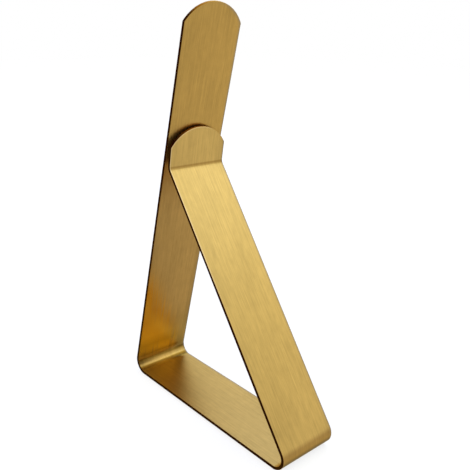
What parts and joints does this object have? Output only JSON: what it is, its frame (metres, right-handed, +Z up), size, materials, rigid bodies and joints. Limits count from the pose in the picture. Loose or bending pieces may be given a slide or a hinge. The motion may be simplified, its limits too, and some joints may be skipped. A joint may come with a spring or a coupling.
{
  "type": "table number holder",
  "caption": "Spring-steel strip folded into a triangle: a flat foot, a leaning upright, and a sprung clamp arm whose short lip pinches a card against the upright.",
  "frame": {"origin": "on the table, under the middle of the folded strip's bounding box", "axes": "+Z up; -Y to the front, the side of the clamp arm; +Y to the heel and the back of the upright; X across the strip's width, which is centred on X = 0"},
  "size_m": [0.015, 0.0542, 0.0918],
  "materials": {
    "gold_steel": "gold-coloured coating over lengthwise brushed spring steel, satin"
  },
  "bodies": {
    "base": {"foot": "gold_steel", "heel_bend": "gold_steel", "toe_bend": "gold_steel"},
    "back": {"upright": "gold_steel"},
    "jaw": {"clamp_arm": "gold_steel", "lip_bend": "gold_steel", "card_lip": "gold_steel"}
  },
  "joints": [
    {"name": "heel_flex", "type": "hinge", "parent": "base", "child": "back", "pos_m": [0, 0.02388, 0.0032], "axis": [-1, 0, 0], "range_deg": [0, 17], "stiffness_Nm_per_rad": 1.95, "deforming": ["heel_bend"]},
    {"name": "toe_flex", "type": "hinge", "parent": "base", "child": "jaw", "pos_m": [0, -0.02398, 0.0031], "axis": [1, 0, 0], "range_deg": [0, 17], "stiffness_Nm_per_rad": 1.6, "deforming": ["toe_bend"]}
  ],
  "couplings": [
    {"joint": "toe_flex", "follows": "heel_flex", "ratio": 1}
  ]
}
